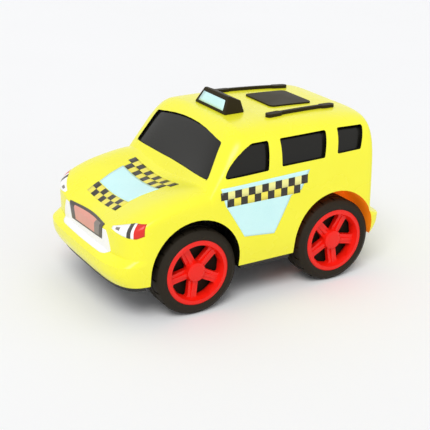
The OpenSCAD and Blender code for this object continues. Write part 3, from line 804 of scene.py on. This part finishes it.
for side, sign_x, y in (("left", -1, 90), ("right", 1, -90)):
    lay_label("door_field_" + side, side, (0, y, 0), lambda u, v: door_field(u, v, sign_x), 28, 28,
              lambda i, j: "blue", shell)
    lay_label("door_checker_upper_" + side, side, (0, y, 0),
              band_row(29.4, -38.1, (78.2, 78.9), (83.3, 85.0), sign_x),
              26, 2, row("black", "cream"), shell, SECOND_LIFT)
    lay_label("door_checker_lower_" + side, side, (0, y, 0),
              band_row(24.9, -32.2, (72.9, 72.9), (78.2, 78.9), sign_x),
              22, 2, row("black", "yellow"), shell, SECOND_LIFT)
print("door labels on both sides")

# %% [markdown]
# ## Hood labels
# A pale blue panel lies on the hood between two checker strips. They are laid straight down, so a row
# is written by the places of its two ends across the car and its two edges along it.

# %% Lay the hood labels
def strip(name, half_front, half_rear, x_front, x_rear, columns, rows, inks):
    """A film on the hood, even about the middle of the car."""
    outline = quad((-half_front, -x_front), (half_front, -x_front),
                   (half_rear, -x_rear), (-half_rear, -x_rear))
    lay_label(name, "top", (0, 0, 150), outline, columns, rows, inks, shell)


strip("hood_panel", 23, 27.6, 76.8, 56.2, 24, 12, lambda i, j: "blue")
strip("hood_checker_1", 32, 32.6, 50, 44, 22, 4, row("black", "yellow"))
strip("hood_checker_2", 26.4, 26.8, 56, 50, 18, 4, row("black", "yellow"))
strip("hood_checker_3", 23.2, 23.6, 81.7, 77.2, 16, 4, row("black", "yellow"))
strip("hood_checker_4", 22.8, 23.2, 86.2, 81.7, 16, 4, row("yellow", "black"))
print("hood labels laid")

# %% [markdown]
# ## Grille and lamps
# The front carries a grille with a rose field between a dark bar and a grey end, a white panel that
# reaches round it down to the bumper, and a lamp at each corner whose outer end is red. The tail is
# not in the picture, so it has no labels.

# %% Lay the grille and its panel
GRILLE_COLUMNS, GRILLE_ROWS, GRILLE_EDGE = 56, 20, 2
GRILLE_RIGHT, GRILLE_LEFT = -26.6, 28.0
ROSE_FROM, ROSE_TO, GREY_TO = -19, 15.5, 23
CHIN_HALF = 38


def grille_ink(i, j):
    """Dark along the edges and at both ends, rose in the middle, grey towards the car's left."""
    y = GRILLE_RIGHT + (GRILLE_LEFT - GRILLE_RIGHT) * (i + 0.5) / GRILLE_COLUMNS
    on_edge = j < GRILLE_EDGE or j >= GRILLE_ROWS - GRILLE_EDGE
    if on_edge or y < ROSE_FROM or y > GREY_TO:
        return "dark"
    return "rose" if y < ROSE_TO else "grey"


def chin(u, v):
    """The white panel behind the grille, rising at both ends and reaching down to the bumper."""
    y = CHIN_HALF * (2 * u - 1)
    low = between([(0, 45.4), (30, 45.6), (34, 46.2), (CHIN_HALF, 48.5)], abs(y))
    high = between([(0, 54), (24, 54), (27, 61), (33, 61.5), (36, 56), (CHIN_HALF, 49.5)], abs(y))
    return y, low + (high - low) * v


lay_label("chin_panel", "front", (150, 0, 0), chin, 56, 20, lambda i, j: "white", shell)
lay_label("grille", "front", (150, 0, 0),
          quad((-22.8, 51), (26.4, 53.2), (GRILLE_LEFT, 63.6), (GRILLE_RIGHT, 62.6)),
          GRILLE_COLUMNS, GRILLE_ROWS, grille_ink, shell, GRILLE_LIFT)
print("grille laid")

# %% Lay the lamps
LAMP_COLUMNS, LAMP_ROWS = 26, 8
LAMP_TIP, LAMP_LENGTH = -14.2, 26.4
LAMP_X, LAMP_Y, STAND_OFF = 88, 50, 40


def lamp(u, v, sign_y):
    """A lamp from its inner tip to its broad outer end, in its own plane."""
    s = u if sign_y > 0 else 1 - u
    across = LAMP_TIP + LAMP_LENGTH * s
    low = between([(0, 64.4), (0.34, 63.6), (0.62, 62.8), (0.84, 62.8), (1, 64.6)], s)
    high = between([(0, 65.6), (0.44, 69.4), (0.7, 71.4), (1, 72)], s)
    return across * sign_y, low + (high - low) * v


def lamp_ink(i, j, sign_y):
    """White with a small grey mark, then a dark bar and the red outer end."""
    i = i if sign_y > 0 else LAMP_COLUMNS - 1 - i
    mark = 4 <= i < 8 and 3 <= j < 6
    return "dark" if 15 <= i < 18 else "red" if i >= 20 else "grey" if mark else "white"


for side, sign_y in (("front_left", 1), ("front_right", -1)):
    start = (LAMP_X + STAND_OFF * LAMP_TURN[1], sign_y * (LAMP_Y + STAND_OFF * LAMP_TURN[0]), 0)
    lay_label("lamp_" + side, side, start, lambda u, v: lamp(u, v, sign_y), LAMP_COLUMNS, LAMP_ROWS,
              lambda i, j: lamp_ink(i, j, sign_y), shell)
print("front labels laid")

# %% Lay the sign's face
lay_label("sign_face_front", "front", (60, 0, 0),
          quad((-16.8, 123.2), (16.8, 123.2), (14.6, 129.6), (-14.6, 129.6)),
          8, 4, lambda i, j: "blue", sign)
